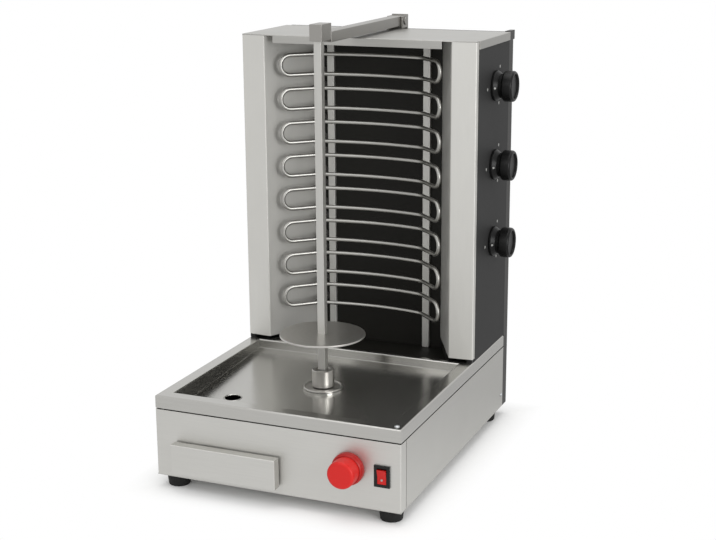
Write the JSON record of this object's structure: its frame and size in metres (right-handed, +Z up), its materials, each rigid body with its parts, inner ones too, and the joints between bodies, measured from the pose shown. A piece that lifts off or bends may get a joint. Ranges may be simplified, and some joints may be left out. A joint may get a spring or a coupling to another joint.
{
  "type": "vertical kebab grill",
  "caption": "Electric vertical broiler: a motor-turned spit with a meat plate stands before a bank of heating elements, over a drip tray with a grease drawer.",
  "frame": {"origin": "centre of the grill's box at the level of the feet", "axes": "+Z up, the front with the drawer and the switches faces -Y, the heat knobs are at +X"},
  "size_m": [0.436, 0.558, 0.695],
  "materials": {
    "stainless_steel": "brushed",
    "bright_steel": "polished",
    "element_steel": "satin",
    "grey_paint": "satin",
    "black_paint": "satin",
    "motor_paint": "satin",
    "cast_aluminium": "cast",
    "brass": "turned",
    "rubber": "matte",
    "red_plastic": "gloss",
    "black_plastic": "matte",
    "knob_plastic": "gloss",
    "ceramic": "matte"
  },
  "bodies": {
    "casing": {"base_front_panel": "stainless_steel", "base_side_left": "stainless_steel", "base_side_right": "stainless_steel", "base_floor": "stainless_steel", "drip_tray": "stainless_steel", "drawer_runners": "stainless_steel", "motor_bracket": "stainless_steel", "reflector_left": "stainless_steel", "reflector_right": "stainless_steel", "top_panel": "stainless_steel", "element_rail_left": "stainless_steel", "element_rail_right": "stainless_steel", "hub_flange": "bright_steel", "hub_nut": "bright_steel", "arm_clevis": "bright_steel", "arm_pin": "bright_steel", "foot_screws": "bright_steel", "casing_screws": "bright_steel", "heating_element_1": "element_steel", "heating_element_2": "element_steel", "heating_element_3": "element_steel", "heating_element_4": "element_steel", "heating_element_5": "element_steel", "heating_element_6": "element_steel", "heating_element_7": "element_steel", "heating_element_8": "element_steel", "side_panel_left": "grey_paint", "side_panel_right": "grey_paint", "rear_cover": "black_paint", "inner_back_panel": "black_paint", "cabinet_floor": "black_paint", "gear_motor": "motor_paint", "gearbox": "cast_aluminium", "rubber_feet": "rubber", "estop_collar": "red_plastic", "estop_contact_block": "black_plastic", "rocker_frame": "black_plastic", "energy_regulators": "black_plastic", "cable_gland": "black_plastic", "flange_pads": "black_plastic", "element_beads": "ceramic", "terminal_block": "ceramic"},
    "spit": {"drive_shaft": "bright_steel", "drive_coupling": "bright_steel", "spit_shaft": "bright_steel", "meat_disc": "bright_steel"},
    "arm": {"arm_bar": "bright_steel", "arm_block": "bright_steel", "arm_bush": "brass"},
    "heat_knob_1": {"knob_1": "knob_plastic", "knob_spindle_1": "bright_steel"},
    "heat_knob_2": {"knob_2": "knob_plastic", "knob_spindle_2": "bright_steel"},
    "heat_knob_3": {"knob_3": "knob_plastic", "knob_spindle_3": "bright_steel"},
    "rocker": {"rocker_button": "red_plastic"},
    "button_stem": {"estop_stem": "black_plastic"},
    "button_cap": {"estop_cap": "red_plastic"},
    "drawer": {"drawer_box": "stainless_steel", "drawer_front": "stainless_steel"}
  },
  "joints": [
    {"name": "spit_spin", "type": "hinge", "parent": "casing", "child": "spit", "pos_m": [-0.016, -0.067, 0.145], "axis": [0, 0, 1], "continuous": true},
    {"name": "arm_lift", "type": "hinge", "parent": "casing", "child": "arm", "pos_m": [-0.016, 0.255, 0.674], "axis": [-1, 0, 0], "range_deg": [0, 90]},
    {"name": "knob_turn_1", "type": "hinge", "parent": "casing", "child": "heat_knob_1", "pos_m": [0.184, 0.168, 0.584], "axis": [-1, 0, 0], "range_deg": [0, 270]},
    {"name": "knob_turn_2", "type": "hinge", "parent": "casing", "child": "heat_knob_2", "pos_m": [0.184, 0.168, 0.457], "axis": [-1, 0, 0], "range_deg": [0, 270]},
    {"name": "knob_turn_3", "type": "hinge", "parent": "casing", "child": "heat_knob_3", "pos_m": [0.184, 0.168, 0.33], "axis": [-1, 0, 0], "range_deg": [0, 270]},
    {"name": "rocker_tilt", "type": "hinge", "parent": "casing", "child": "rocker", "pos_m": [0.155, -0.245, 0.074], "axis": [-1, 0, 0], "range_deg": [0, 16]},
    {"name": "button_push", "type": "slide", "parent": "casing", "child": "button_stem", "axis": [0, 1, 0], "range_m": [0, 0.005], "stiffness_N_per_m": 1500},
    {"name": "button_twist", "type": "hinge", "parent": "button_stem", "child": "button_cap", "pos_m": [0.103, -0.265, 0.079], "axis": [0, 1, 0], "range_deg": [0, 45], "stiffness_Nm_per_rad": 0.05},
    {"name": "drawer_slide", "type": "slide", "parent": "casing", "child": "drawer", "axis": [0, -1, 0], "range_m": [0, 0.11]}
  ]
}
